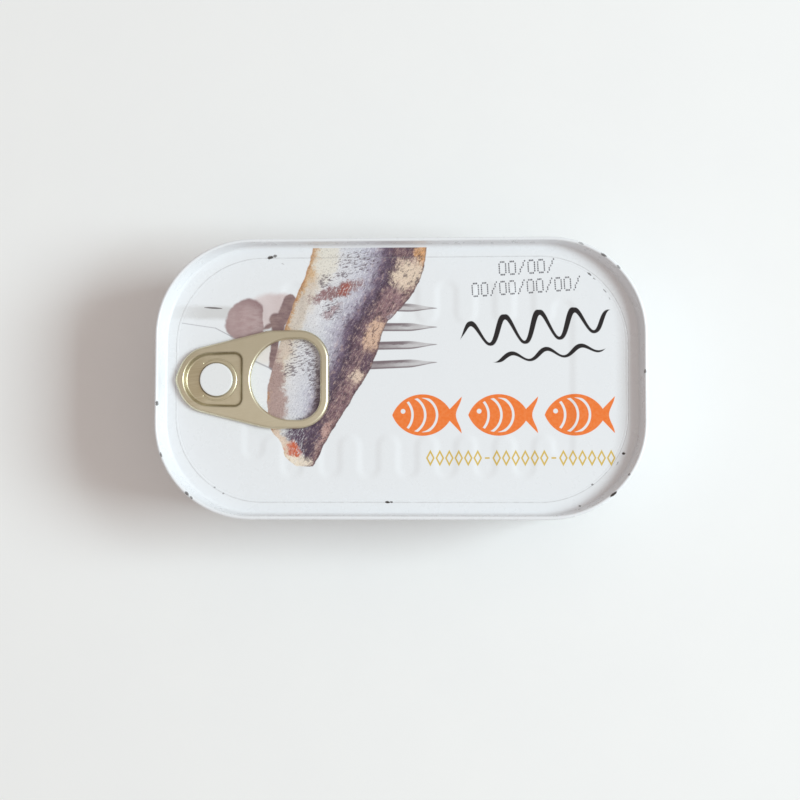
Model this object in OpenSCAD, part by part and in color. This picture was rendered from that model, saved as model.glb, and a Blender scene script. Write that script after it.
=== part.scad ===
// Shut easy-open tin for small fish: a drawn body, a lid rolled onto it in a double seam,
// and a ring pull held by a rivet that is pressed out of the lid itself.
// The tin stands on Z = 0, centred, with its length along X and the pull at the -X end.
// All sizes are in millimetres.

/* [Tin] */
// Length over the rim
tin_l = 104; // [80:0.5:140]
// Width over the rim
tin_w = 59.5; // [50:0.5:80]
// Height over the rim
tin_h = 28; // [18:0.5:45]
// Radius of the rim's corners, seen from above
corner_r = 20.5; // [12:0.5:24]

/* [Body] */
// How far the foot is drawn in, so that it nests in the rim of the tin below
foot_in = 0.9; // [0.7:0.05:1.5]
// Height of the drawn-in foot
foot_h = 2.6; // [2.4:0.1:5]
// Radius between the foot's side and its underside
foot_r = 1.6; // [0.8:0.1:2]
// Width of the flat ring that the tin stands on
stand_w = 1.2; // [0.8:0.1:2]
// Depth of the hollow inside that ring
base_rise = 0.8; // [0.4:0.1:1.4]
// Distance from the hollow's edge to the round-cornered bead in the base
bead_in = 5; // [4:0.5:7]
// Width of the bead in the base
bead_w = 2; // [1:0.1:3]
// Height of the bead in the base
bead_h = 0.4; // [0.2:0.05:0.4]

/* [Rim] */
// Thickness of the double seam
seam_t = 1.3; // [1.2:0.05:1.6]
// Height of the double seam
seam_h = 2.9; // [2.4:0.1:3.4]
// Part of the body wall that stands up beside the lid, below the seam
rim_t = 0.3; // [0.2:0.05:0.35]
// Depth from the top of the rim to the lid's panel
sink_d = 3.6; // [3.4:0.1:5]
// How far the sunk wall leans in between the seam and the panel
wall_lean = 0.7; // [0.6:0.05:1.2]
// Slope at the foot of the sunk wall
wall_foot = 0.4; // [0.2:0.05:0.6]

/* [Lid] */
// Thickness of the lid's panel
panel_t = 1; // [0.8:0.1:1.4]
// Distance from the ends of the rim to the scored line
score_end_in = 4.5; // [3.6:0.1:6]
// Distance from the long sides of the rim to the scored line
score_side_in = 3.7; // [3.2:0.1:5]
// Corner radius of the scored line
score_r = 17.6; // [10:0.2:20]
// Width of the scored line
score_w = 0.35; // [0.2:0.05:0.6]
// Depth of the scored line
score_d = 0.12; // [0.05:0.01:0.2]
// Spacing of the cross grooves that stiffen the panel
groove_pitch = 8.2; // [6:0.1:12]
// Width of a cross groove
groove_w = 4; // [2:0.1:5]
// Depth of the grooves
groove_d = 0.4; // [0.2:0.05:0.6]
// Distance from the long sides of the rim to the ends of the grooves
groove_side_in = 9.15; // [7:0.05:14]
// How much shorter the first and last groove are at each end
groove_short = 4; // [0:0.5:6]
// Half the width of the band that runs lengthwise through all the grooves
band_half = 12.1; // [8:0.1:15]
// Distance from the pull's end of the rim to the middle of the first groove
first_groove_in = 20.8; // [20:0.1:26]
// Distance kept free at the other end of the rim, beyond the last groove
last_groove_in = 14; // [12:0.5:26]

/* [Rivet] */
// Distance from the end of the rim to the rivet
rivet_in = 12.8; // [12.6:0.1:14]
// Radius of the rivet's shank
shank_r = 2.2; // [1.6:0.1:2.8]
// Radius of the rivet's head
head_r = 3.5; // [3.2:0.1:4]
// Thickness of the rivet's head
head_t = 0.5; // [0.3:0.05:0.5]

/* [Ring pull] */
// Length of the pull without its beak
pull_l = 32.5; // [30:0.1:36]
// Width of the pull over the ring
pull_w = 21; // [18.5:0.1:23]
// Thickness of the pull's rolled edge
pull_t = 1.3; // [1.1:0.05:1.6]
// Width of the rolled edge
edge_w = 1.9; // [1.6:0.05:2.2]
// Radius of the rounded nose
nose_r = 7.2; // [6.8:0.1:8]
// Distance from the rivet back to the centre of the nose
nose_back = 1.2; // [0.8:0.1:1.5]
// Distance from the rivet to where the ring has its full width
ring_full = 12.6; // [11:0.1:13]
// Corner radius of the ring's far end
ring_r = 6.5; // [4:0.1:7]
// Length of the finger hole
hole_l = 14.8; // [12:0.1:15.4]
// Radius of the sunk field round the rivet
field_r = 5.7; // [5.3:0.1:6]
// Corner radius of the straight side of that field
field_corner = 1.6; // [0.8:0.1:2.4]
// Distance from the rivet to the straight side of that field
field_l = 5.4; // [5:0.1:5.8]
// Thickness of the sheet in that field
sheet_t = 0.35; // [0.25:0.05:0.45]
// Height of the sheet's underside over the lid's panel
sheet_gap = 0.2; // [0.1:0.05:0.3]
// Radius of the slit that frees the rivet's tongue
slit_r = 4.35; // [4.3:0.05:4.8]
// Width of that slit
slit_w = 0.3; // [0.2:0.05:0.4]
// Angle that the slit takes in, open towards the nose
slit_angle = 200; // [120:10:240]
// How far the beak stands out of the nose
beak_out = 0.4; // [0.2:0.05:0.6]
// Width of the beak where it meets the nose
beak_w = 4.6; // [3:0.1:6]

/* [Hidden] */
$fn = 96;
// How far solids reach into each other where they are joined or cut
joint = 0.01;
lap = 0.05;

// Levels
seam_z = tin_h - seam_h;
panel_z = tin_h - sink_d;
under_z = panel_z - panel_t;
crown_r = seam_t / 2;

// Radii of the wall's parts, measured from the axis of a corner
body_r = corner_r - seam_t;
inner_r = body_r - rim_t;
foot_side_r = body_r - foot_in;
stand_r = foot_side_r - foot_r;
hollow_r = stand_r - stand_w;
seam_in_r = corner_r - seam_t;
panel_r = seam_in_r - wall_lean;

// Grooves of the lid
groove_end = tin_w / 2 - groove_side_in;
first_groove_x = first_groove_in - tin_l / 2;
groove_room = tin_l - first_groove_in - last_groove_in;
groove_n = floor(groove_room / groove_pitch) + 1;
last_groove_x = first_groove_x + (groove_n - 1) * groove_pitch;

// Ring pull, measured from the rivet with the ring towards +X
rivet_x = rivet_in - tin_l / 2;
end_x = pull_l - nose_back - nose_r;
half_w = pull_w / 2;
edge_mid = edge_w / 2;
side_angle = asin((half_w - nose_r) / (ring_full + nose_back));
plate_t = pull_t - 2 * sheet_gap;
hole_left = end_x - edge_w - hole_l;
hole_mid = hole_left + half_w - edge_w;
hole_cut_r = half_w - edge_w + 0.35;

// A solid with the plan of the tin. The child is its section, measured outwards from
// a corner's axis, and the middle is filled between the heights low and high.
module tin_shape(low, high) {
    long = tin_l - 2 * corner_r;
    wide = tin_w - 2 * corner_r;
    for (side = [0, 180])
        rotate([0, 0, side]) {
            translate([long / 2, 0, 0])
                rotate([90, 0, 0])
                    linear_extrude(wide, center = true)
                        children();
            rotate([0, 0, 90])
                translate([wide / 2, 0, 0])
                    rotate([90, 0, 0])
                        linear_extrude(long, center = true)
                            children();
            translate([long / 2, wide / 2, 0])
                rotate_extrude(angle = 90)
                    children();
            translate([long / 2, -wide / 2, 0])
                rotate([0, 0, -90])
                    rotate_extrude(angle = 90)
                        children();
        }
    translate([-long / 2, -wide / 2, low])
        cube([long, wide, high - low]);
}

// A flat plate with round corners, as wide and long as the tin less what is set in
module plate(end_in, side_in, r) {
    l = tin_l - 2 * end_in;
    w = tin_w - 2 * side_in;
    square([l - 2 * r, w], center = true);
    square([l, w - 2 * r], center = true);
    for (x = [-1, 1], y = [-1, 1])
        translate([x * (l / 2 - r), y * (w / 2 - r)])
            circle(r);
}

// Section of the drawn body, from its hollow base up to the edge inside the seam
module body_section() {
    polygon([
        [0, base_rise],
        [hollow_r - base_rise, base_rise],
        [hollow_r, 0],
        [stand_r, 0],
        [stand_r, foot_r],
        [foot_side_r, foot_r],
        [foot_side_r, foot_h],
        [body_r, foot_h + foot_in],
        [body_r, seam_z],
        [inner_r, seam_z],
        [inner_r, under_z],
        [0, under_z]
    ]);
    intersection() {
        translate([stand_r, foot_r])
            circle(foot_r);
        translate([stand_r, 0])
            square([foot_r, foot_r]);
    }
}

// Pressed bead that stiffens the base, sunk into its underside
module base_bead() {
    edge = corner_r - hollow_r + bead_in;
    r = corner_r - edge;
    translate([0, 0, base_rise - joint])
        linear_extrude(bead_h + joint)
            difference() {
                plate(edge, edge, r);
                plate(edge + bead_w, edge + bead_w, r - bead_w);
            }
}

module body() {
    color("white")
        difference() {
            tin_shape(base_rise, under_z)
                body_section();
            base_bead();
        }
}

// Section of the lid: the seam with its round crown, the sunk wall and the panel
module lid_section() {
    polygon([
        [0, under_z],
        [inner_r, under_z],
        [inner_r, seam_z],
        [corner_r - crown_r / 2, seam_z],
        [corner_r, seam_z + crown_r / 2],
        [corner_r, tin_h - crown_r],
        [seam_in_r, tin_h - crown_r],
        [panel_r + wall_foot / 4, panel_z + wall_foot],
        [panel_r - wall_foot, panel_z],
        [0, panel_z]
    ]);
    translate([corner_r - crown_r, tin_h - crown_r])
        circle(crown_r);
}

// Line along which the panel tears open
module score_cut() {
    translate([0, 0, panel_z - score_d])
        linear_extrude(score_d + joint)
            difference() {
                plate(score_end_in - score_w / 2, score_side_in - score_w / 2, score_r + score_w / 2);
                plate(score_end_in + score_w / 2, score_side_in + score_w / 2, score_r - score_w / 2);
            }
}

// One cross groove with round ends
module groove(half) {
    r = groove_w / 2;
    square([groove_w, 2 * (half - r)], center = true);
    for (y = [-1, 1])
        translate([0, y * (half - r)])
            circle(r);
}

// The stepped field in the middle of the panel: a band with grooves across it
module groove_cut() {
    translate([0, 0, panel_z - groove_d])
        linear_extrude(groove_d + joint) {
            for (i = [0 : groove_n - 1])
                translate([first_groove_x + i * groove_pitch, 0])
                    groove(i == 0 || i == groove_n - 1 ? groove_end - groove_short : groove_end);
            translate([first_groove_x, -band_half])
                square([last_groove_x - first_groove_x, 2 * band_half]);
        }
}

// Rivet pressed out of the panel, closed over the pull
module rivet() {
    sheet_top = sheet_gap + sheet_t;
    translate([rivet_x, 0, panel_z - joint])
        cylinder(h = sheet_top + joint + head_t / 2, r = shank_r);
    translate([rivet_x, 0, panel_z + sheet_top])
        cylinder(h = head_t, r = head_r);
}

module lid() {
    color("whitesmoke") {
        difference() {
            tin_shape(under_z, panel_z)
                lid_section();
            score_cut();
            groove_cut();
        }
        rivet();
    }
}

// Outline of the sheet between the rolled edges, out to the middle of those edges.
// The slanted sides lie a little inside the two circles that they join.
module sheet_outline() {
    nose = nose_r - edge_mid;
    ring = half_w - edge_mid;
    slack = edge_mid / 4;
    lean = [-sin(side_angle), cos(side_angle)];
    translate([-nose_back, 0])
        circle(nose);
    translate([ring_full, 0])
        circle(ring);
    polygon([
        [-nose_back + (nose - slack) * lean.x, (nose - slack) * lean.y],
        [ring_full + (ring - slack) * lean.x, (ring - slack) * lean.y],
        [ring_full + (ring - slack) * lean.x, -(ring - slack) * lean.y],
        [-nose_back + (nose - slack) * lean.x, -(nose - slack) * lean.y]
    ]);
    translate([ring_full, slack - ring])
        square([end_x - ring_r - ring_full, 2 * (ring - slack)]);
}

// Section of the rolled edge, drawn thinner by a hair where it runs into another stretch
module edge_section(hair = 0) {
    flat = edge_w - pull_t;
    r = pull_t / 2 - hair;
    translate([-flat / 2, hair])
        square([flat, 2 * r]);
    for (side = [-1, 1])
        translate([side * flat / 2, pull_t / 2])
            circle(r);
}

// An arc of rolled edge round the point [x, y]
module edge_arc(x, y, r, start, turn) {
    translate([x, y, 0])
        rotate([0, 0, start])
            rotate_extrude(angle = turn)
                translate([r, 0])
                    edge_section();
}

// A straight stretch of rolled edge from the point [x, y], which laps into the arcs at its ends
module edge_straight(x, y, heading, length) {
    translate([x, y, 0])
        rotate([90, 0, heading + 90])
            translate([0, 0, -lap])
                linear_extrude(length + 2 * lap)
                    edge_section(joint);
}

// Rolled edge all round the pull: the nose, the two sides and the ring's far end
module edge() {
    nose = nose_r - edge_mid;
    ring = half_w - edge_mid;
    lean = [-sin(side_angle), cos(side_angle)];
    edge_arc(-nose_back, 0, nose, 90 + side_angle, 180 - 2 * side_angle);
    for (flip = [0, 1])
        mirror([0, flip, 0]) {
            edge_straight(ring_full + ring * lean.x, ring * lean.y, 180 + side_angle,
                (ring_full + nose_back) * cos(side_angle));
            edge_arc(ring_full, 0, ring, 90, side_angle);
            edge_straight(end_x - ring_r, ring, 180, end_x - ring_r - ring_full);
            edge_arc(end_x - ring_r, half_w - ring_r, ring_r - edge_mid, 0, 90);
        }
    edge_straight(end_x - edge_mid, half_w - ring_r, -90, 2 * (half_w - ring_r));
}

// Sheet between the rolled edges, with the left side of the finger hole cut out of it
module pull_sheet() {
    translate([0, 0, sheet_gap])
        linear_extrude(plate_t)
            difference() {
                sheet_outline();
                translate([hole_mid, -pull_w])
                    square([pull_l, 2 * pull_w]);
                translate([hole_left + hole_cut_r, 0])
                    circle(hole_cut_r);
            }
}

// Sunk field round the rivet: round towards the nose, straight towards the ring
module field_cut() {
    translate([0, 0, sheet_gap + sheet_t])
        linear_extrude(pull_t) {
            circle(field_r);
            translate([0, -field_r])
                square([field_l - field_corner, 2 * field_r]);
            translate([0, field_corner - field_r])
                square([field_l, 2 * (field_r - field_corner)]);
            for (side = [-1, 1])
                translate([field_l - field_corner, side * (field_r - field_corner)])
                    circle(field_corner);
        }
}

// Slit that frees the tongue which the rivet holds
module slit_cut() {
    rotate([0, 0, -slit_angle / 2])
        rotate_extrude(angle = slit_angle)
            translate([slit_r - slit_w / 2, 0])
                square([slit_w, pull_t]);
}

// Beak that presses on the scored line when the ring is lifted
module beak() {
    tip = nose_back + nose_r + beak_out;
    root = nose_back + nose_r - edge_mid;
    translate([0, 0, sheet_gap])
        linear_extrude(plate_t)
            polygon([[-tip, -beak_w / 8], [-root, -beak_w / 2], [-root, beak_w / 2], [-tip, beak_w / 8]]);
}

module ring_pull() {
    color("goldenrod")
        translate([rivet_x, 0, panel_z])
            difference() {
                union() {
                    edge();
                    pull_sheet();
                    beak();
                }
                field_cut();
                slit_cut();
                cylinder(h = pull_t, r = shank_r);
            }
}

body();
lid();
ring_pull();
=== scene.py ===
"""Looks of a shut fish tin with an enamelled lid, a printed panel and a gold ring pull."""

import math

import bmesh
import bpy
from mathutils import Matrix, Vector


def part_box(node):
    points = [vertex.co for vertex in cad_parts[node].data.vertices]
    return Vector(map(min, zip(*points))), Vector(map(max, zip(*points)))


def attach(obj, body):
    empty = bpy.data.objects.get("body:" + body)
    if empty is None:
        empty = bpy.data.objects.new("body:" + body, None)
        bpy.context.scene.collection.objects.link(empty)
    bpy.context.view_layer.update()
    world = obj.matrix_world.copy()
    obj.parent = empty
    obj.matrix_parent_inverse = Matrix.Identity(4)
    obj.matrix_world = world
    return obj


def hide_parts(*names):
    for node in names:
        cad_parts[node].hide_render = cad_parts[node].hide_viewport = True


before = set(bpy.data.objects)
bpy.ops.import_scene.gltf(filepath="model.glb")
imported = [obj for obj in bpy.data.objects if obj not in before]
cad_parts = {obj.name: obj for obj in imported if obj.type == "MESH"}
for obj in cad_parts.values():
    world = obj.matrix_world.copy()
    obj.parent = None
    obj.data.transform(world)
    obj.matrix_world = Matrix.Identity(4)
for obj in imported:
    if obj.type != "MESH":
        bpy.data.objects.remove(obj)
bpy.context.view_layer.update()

MM = 0.001

# ------------------------ sizes from the frame

lid_low, lid_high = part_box("lid")
body_low, body_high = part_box("body")
pull_low, pull_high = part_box("ring_pull")

TIN_LENGTH = lid_high[0] - lid_low[0]
TIN_WIDTH = lid_high[1] - lid_low[1]
RIM_Z = lid_high[2]
SEAM_Z = body_high[2]
PANEL_Z = pull_low[2]
FOOT_Z = body_low[2]
SEAM_THICKNESS = lid_high[0] - body_high[0]

# ------------------------ sizes of the looks

CORNER_RADIUS = 20.5 * MM
CORNER_STEPS = 20
CROWN_THICKNESS = 0.78 * MM
SEAM_HOOK = 0.6 * MM

NECK_IN = CROWN_THICKNESS - 0.02 * MM
NECK_LOW = PANEL_Z - 0.5 * MM
FOOT_IN = 0.9 * MM
FOOT_TOP = FOOT_Z + 2.6 * MM
FOOT_RADIUS = 1.6 * MM
STAND_WIDTH = 1.0 * MM
BASE_RISE = 0.8 * MM
BEAD_WIDTH = 1.2 * MM

WALL_END_IN = 2.3 * MM
WALL_SIDE_IN = 1.6 * MM
WALL_RADIUS = 19.7 * MM
WALL_FILLET = 0.7 * MM

SCORE_END_IN = 4.0 * MM
SCORE_SIDE_IN = 3.7 * MM
SCORE_RADIUS = 18.6 * MM
SCORE_HALF = 0.11 * MM
SCORE_DEPTH = 0.05 * MM

GROOVE_COUNT = 9
GROOVE_PITCH = 8.2 * MM
GROOVE_FIRST = -31.2 * MM
GROOVE_HALF = 2.0 * MM
GROOVE_REACH = 20.6 * MM
GROOVE_SHORT = 4.0 * MM
BAND_HALF = 12.1 * MM
GROOVE_DEPTH = 0.16 * MM
GROOVE_SLOPE = 0.9 * MM
RELIEF_STEP = 0.35 * MM

RIVET_RADIUS = 3.5 * MM
RIVET_FOOT_Z = PANEL_Z + 0.3 * MM
RIVET_TOP_Z = PANEL_Z + 1.05 * MM

PULL_THICKNESS = pull_high[2] - pull_low[2]
PULL_HALF = (pull_high[1] - pull_low[1]) / 2
EDGE_WIDTH = 1.9 * MM
EDGE_ROLL = 0.62 * MM
HOLE_ROLL = 0.5 * MM
NOSE_RADIUS = 7.2 * MM
NOSE_BACK = 1.2 * MM
BEAK_OUT = 0.4 * MM
BEAK_HALF = 1.5 * MM
RING_FULL = 12.6 * MM
RING_RADIUS = 6.5 * MM
HOLE_LENGTH = 14.8 * MM
FIELD_IN = 1.2 * MM
FIELD_RIGHT = 5.9 * MM
FIELD_CORNER = 2.0 * MM
FIELD_LEAN = 1.0
FIELD_SLOPE = 0.95 * MM
FLOOR_Z = 0.36 * MM
SLIT_RADIUS = 4.4 * MM
SLIT_HALF = 0.12 * MM
SLIT_TURN = 128

BUMP_DEPTH = 0.05 * MM

RIVET_X = pull_low[0] + BEAK_OUT + NOSE_RADIUS + NOSE_BACK
PULL_END = pull_high[0] - RIVET_X
SIDE_ANGLE = math.degrees(math.asin((PULL_HALF - NOSE_RADIUS) / (RING_FULL + NOSE_BACK)))


# ------------------------ mesh making

def finish_piece(bm, name, material, node):
    """Turns a bmesh into a piece that stands for a CAD node and rides on the tin."""
    bmesh.ops.remove_doubles(bm, verts=bm.verts, dist=0.002 * MM)
    bmesh.ops.recalc_face_normals(bm, faces=bm.faces)
    mesh = bpy.data.meshes.new(name)
    bm.to_mesh(mesh)
    bm.free()
    mesh.shade_smooth()
    piece = bpy.data.objects.new(name, mesh)
    bpy.context.scene.collection.objects.link(piece)
    mesh.materials.append(material)
    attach(piece, "root")
    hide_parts(node)
    return piece


def arc_points(arcs, z):
    """Points of a closed outline made of arcs (x, y, radius, start, end, steps) in degrees."""
    points = []
    for x, y, radius, start, end, steps in arcs:
        for k in range(steps + 1):
            turn = math.radians(start + (end - start) * k / steps)
            points.append(Vector((x + radius * math.cos(turn), y + radius * math.sin(turn), z)))
    return points


def first_ring(bm, points):
    """A closed ring of vertices, made from a circle that is bent to the points."""
    made = bmesh.ops.create_circle(bm, segments=len(points), radius=1.0)
    ring = made["verts"]
    for vertex, point in zip(ring, points):
        vertex.co = point
    return ring


def ring_edges(bm, ring):
    """The edges of a closed ring."""
    return [bm.edges.get((ring[i], ring[(i + 1) % len(ring)])) for i in range(len(ring))]


def grow(bm, ring, points):
    """Extrudes a ring and moves the new one to the points. Returns the new ring."""
    made = bmesh.ops.extrude_edge_only(bm, edges=ring_edges(bm, ring))["geom"]
    fresh = {item for item in made if isinstance(item, bmesh.types.BMVert)}
    new_ring = [next(edge.other_vert(vertex) for edge in vertex.link_edges
                     if edge.other_vert(vertex) in fresh) for vertex in ring]
    for vertex, point in zip(new_ring, points):
        vertex.co = point
    return new_ring


def fill_between(bm, *rings):
    """Fills the flat area inside the first ring and outside the others."""
    edges = []
    for ring in rings:
        edges += ring_edges(bm, ring)
    bmesh.ops.triangle_fill(bm, edges=edges, use_beauty=True)


def tin_ring(end_in, side_in, radius, z):
    """Points of a round-cornered outline set in from the ends and sides of the rim."""
    x = TIN_LENGTH / 2 - end_in - radius
    y = TIN_WIDTH / 2 - side_in - radius
    corners = [(x, y, 0), (-x, y, 90), (-x, -y, 180), (x, -y, 270)]
    return arc_points([(cx, cy, radius, start, start + 90, CORNER_STEPS) for cx, cy, start in corners], z)


def rim_ring(inset, z):
    """Points of an outline that follows the rim at one inset."""
    return tin_ring(inset, inset, CORNER_RADIUS - inset, z)


def score_ring(inset, z):
    """Points of an outline that follows the scored line at one inset."""
    return tin_ring(SCORE_END_IN + inset, SCORE_SIDE_IN + inset, SCORE_RADIUS - inset, z)


def quarter(steps):
    """Pairs (across, up) after each step of a quarter turn that starts level and ends at (1, 1)."""
    for k in range(1, steps + 1):
        turn = math.radians(90 * k / steps)
        yield math.sin(turn), 1 - math.cos(turn)


def eased(part):
    """A share from 0 to 1 that starts and ends level."""
    return part * part * (3 - 2 * part)


# ------------------------ the drawn body

def body_profile():
    """Pairs (inset, z) down the neck and wall and round the drawn-in foot to the standing ring."""
    wall = SEAM_THICKNESS
    profile = []
    for k in range(0, 9):
        part = k / 8
        profile.append((NECK_IN + (wall - NECK_IN) * eased(part), SEAM_Z + (NECK_LOW - SEAM_Z) * part))
    profile += [(wall, NECK_LOW - 0.3 * MM), (wall, SEAM_Z - 6 * MM)]
    profile += [(wall, FOOT_TOP + 6 * MM), (wall, FOOT_TOP + 1.5 * MM)]
    for across, up in quarter(5):
        profile.append((wall + up * FOOT_IN / 2, FOOT_TOP + (1.4 - across * 0.6) * MM))
    for across, up in quarter(5):
        profile.append((wall + FOOT_IN * (0.5 + across / 2), FOOT_TOP + (0.8 - up * 0.6) * MM))
    profile.append((wall + FOOT_IN, FOOT_Z + FOOT_RADIUS))
    for across, up in quarter(8):
        profile.append((wall + FOOT_IN + up * FOOT_RADIUS, FOOT_Z + FOOT_RADIUS * (1 - across)))
    return profile


def base_profile():
    """Pairs (inset, z) from the standing ring up to the hollow base and over its two beads."""
    stand = SEAM_THICKNESS + FOOT_IN + FOOT_RADIUS
    side = stand + STAND_WIDTH
    profile = [(stand + 0.3 * MM, FOOT_Z), (side, FOOT_Z)]
    for across, up in quarter(4):
        profile.append((side + across * 0.7 * MM, FOOT_Z + up * BASE_RISE / 2))
    for across, up in quarter(4):
        profile.append((side + (0.7 + 0.7 * up) * MM, FOOT_Z + BASE_RISE * (0.5 + across / 2)))
    base = side + 1.5 * MM
    profile.append((base, FOOT_Z + BASE_RISE))
    for start, low, lift in ((4.5, 0.0, 0.4), (9.0, 0.4, 0.3)):
        edge = base + start * MM
        foot = FOOT_Z + BASE_RISE + low * MM
        for k in range(0, 7):
            part = k / 6
            profile.append((edge + part * BEAD_WIDTH, foot + lift * MM * eased(part)))
        profile.append((edge + BEAD_WIDTH + 0.2 * MM, foot + lift * MM))
    return profile


def make_body(material):
    """The drawn tin: neck under the seam, wall, drawn-in foot, standing ring and beaded base."""
    least_radius = 1.0 * MM
    bm = bmesh.new()
    ring = first_ring(bm, rim_ring(NECK_IN + 0.03 * MM, SEAM_Z + 0.15 * MM))
    for inset, z in body_profile() + base_profile():
        radius = CORNER_RADIUS - inset if inset < CORNER_RADIUS - least_radius else least_radius
        ring = grow(bm, ring, tin_ring(inset, inset, radius, z))
    fill_between(bm, ring)
    return finish_piece(bm, "tin_body", material, "body")


# ------------------------ the lid

def groove_depth(x, y):
    """Depth of the pressed field at one place: a band with round-ended grooves across it."""
    last = GROOVE_FIRST + (GROOVE_COUNT - 1) * GROOVE_PITCH
    y = abs(y)
    r = GROOVE_HALF
    if x < GROOVE_FIRST or x > last:
        beyond = GROOVE_FIRST - x if x < GROOVE_FIRST else x - last
        over = y - (GROOVE_REACH - GROOVE_SHORT - r)
        distance = math.hypot(beyond, over) - r if over > 0 else beyond - r
    else:
        index = round((x - GROOVE_FIRST) / GROOVE_PITCH)
        beside = abs(x - GROOVE_FIRST - index * GROOVE_PITCH)
        reach = GROOVE_REACH - (GROOVE_SHORT if index in (0, GROOVE_COUNT - 1) else 0)
        tip = reach - r
        land = GROOVE_PITCH / 2 - r
        root = BAND_HALF + land
        if y >= tip:
            distance = math.hypot(beside, y - tip) - r
        elif y >= root:
            distance = beside - r
        else:
            distance = land - math.hypot(GROOVE_PITCH / 2 - beside, root - y)
    return GROOVE_DEPTH * eased(min(max(0.5 - distance / (2 * GROOVE_SLOPE), 0.0), 1.0))


def crown_profile():
    """Pairs (inset, z) from under the seam's hook, up its outside and over its rolled crown."""
    half = CROWN_THICKNESS / 2
    profile = [(CROWN_THICKNESS - 0.05 * MM, SEAM_Z + 0.02 * MM), (SEAM_HOOK, SEAM_Z)]
    for across, up in quarter(5):
        profile.append((SEAM_HOOK * (1 - across) + 0.04 * MM, SEAM_Z + 0.55 * MM * up))
    profile += [(0.0, SEAM_Z + 1.1 * MM), (0.0, RIM_Z - half - 0.2 * MM)]
    for across, up in quarter(8):
        profile.append((half * up, RIM_Z - half * (1 - across)))
    for across, up in quarter(8):
        profile.append((half * (1 + across), RIM_Z - half * up))
    return profile


def wall_profile():
    """Triples (share of the way to the wall's foot, further inset, z) down the sunk wall."""
    top = RIM_Z - CROWN_THICKNESS / 2
    foot = PANEL_Z + WALL_FILLET
    profile = [(part, 0.0, top + (foot - top) * part) for part in (0.3, 0.65, 1.0)]
    for across, up in quarter(7):
        profile.append((1.0, WALL_FILLET * up, foot - WALL_FILLET * across))
    profile.append((1.0, WALL_FILLET + 0.06 * MM, PANEL_Z))
    return profile


def score_profile():
    """Pairs (inset, z) across the scored line and the fine line beside it."""
    profile = []
    for centre, width, depth in ((0.0, SCORE_HALF, SCORE_DEPTH), (0.55 * MM, 0.09 * MM, 0.03 * MM)):
        for offset, share in ((-2.2, 0), (-1.5, 0), (-0.9, 0.08), (-0.3, 0.9), (0, 1),
                              (0.3, 0.9), (0.9, 0.08), (1.5, 0), (2.2, 0)):
            profile.append((centre + offset * width, PANEL_Z - depth * share))
    return profile


def add_panel(bm, ring):
    """The lid's panel inside a ring, with the pressed band and grooves in a fine grid."""
    last = GROOVE_FIRST + (GROOVE_COUNT - 1) * GROOVE_PITCH
    margin = GROOVE_HALF + GROOVE_SLOPE + 2 * RELIEF_STEP
    x_low, x_high = GROOVE_FIRST - margin, last + margin
    y_high = GROOVE_REACH + GROOVE_SLOPE + 2 * RELIEF_STEP
    cols = round((x_high - x_low) / RELIEF_STEP)
    rows = round(2 * y_high / RELIEF_STEP)
    place = Matrix.Translation(((x_low + x_high) / 2, 0, PANEL_Z))
    place = place @ Matrix.Diagonal(((x_high - x_low) / 2, y_high, 1, 1))
    grid = bmesh.ops.create_grid(bm, x_segments=cols, y_segments=rows, size=1.0, matrix=place)["verts"]
    for vertex in grid:
        vertex.co.z = PANEL_Z - groove_depth(vertex.co.x, vertex.co.y)
    border = {edge for vertex in grid for edge in vertex.link_edges if edge.is_boundary}
    bmesh.ops.triangle_fill(bm, edges=ring_edges(bm, ring) + list(border), use_beauty=True)


def add_rivet(bm):
    """The rivet's closed button: pairs of radius and height as shares, from its foot up."""
    rings = []
    for share, height in ((0.9, 0.02), (0.97, 0.06), (1.0, 0.14), (1.0, 0.86),
                          (0.985, 0.94), (0.95, 0.99), (0.9, 1.0), (0.86, 1.0)):
        z = RIVET_FOOT_Z + (RIVET_TOP_Z - RIVET_FOOT_Z) * height
        points = arc_points([(RIVET_X, 0, RIVET_RADIUS * share, 0, 354, 59)], z)
        rings.append(grow(bm, rings[-1], points) if rings else first_ring(bm, points))
    fill_between(bm, rings[0])
    fill_between(bm, rings[-1])


def make_lid(material):
    """The rolled seam, the sunk wall, the scored panel and the rivet pressed out of it."""
    bm = bmesh.new()
    ring = first_ring(bm, rim_ring(CROWN_THICKNESS - 0.04 * MM, SEAM_Z + 0.2 * MM))
    for inset, z in crown_profile():
        ring = grow(bm, ring, rim_ring(inset, z))
    for part, out, z in wall_profile():
        end_in = CROWN_THICKNESS + (WALL_END_IN - WALL_FILLET - CROWN_THICKNESS) * part + out
        side_in = CROWN_THICKNESS + (WALL_SIDE_IN - WALL_FILLET - CROWN_THICKNESS) * part + out
        radius = CORNER_RADIUS - CROWN_THICKNESS
        radius += (WALL_RADIUS + WALL_FILLET - radius) * part - out
        ring = grow(bm, ring, tin_ring(end_in, side_in, radius, z))
    for inset, z in score_profile():
        ring = grow(bm, ring, score_ring(inset, z))
    add_panel(bm, ring)
    add_rivet(bm)
    return finish_piece(bm, "tin_lid", material, "lid")


# ------------------------ the ring pull

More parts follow.
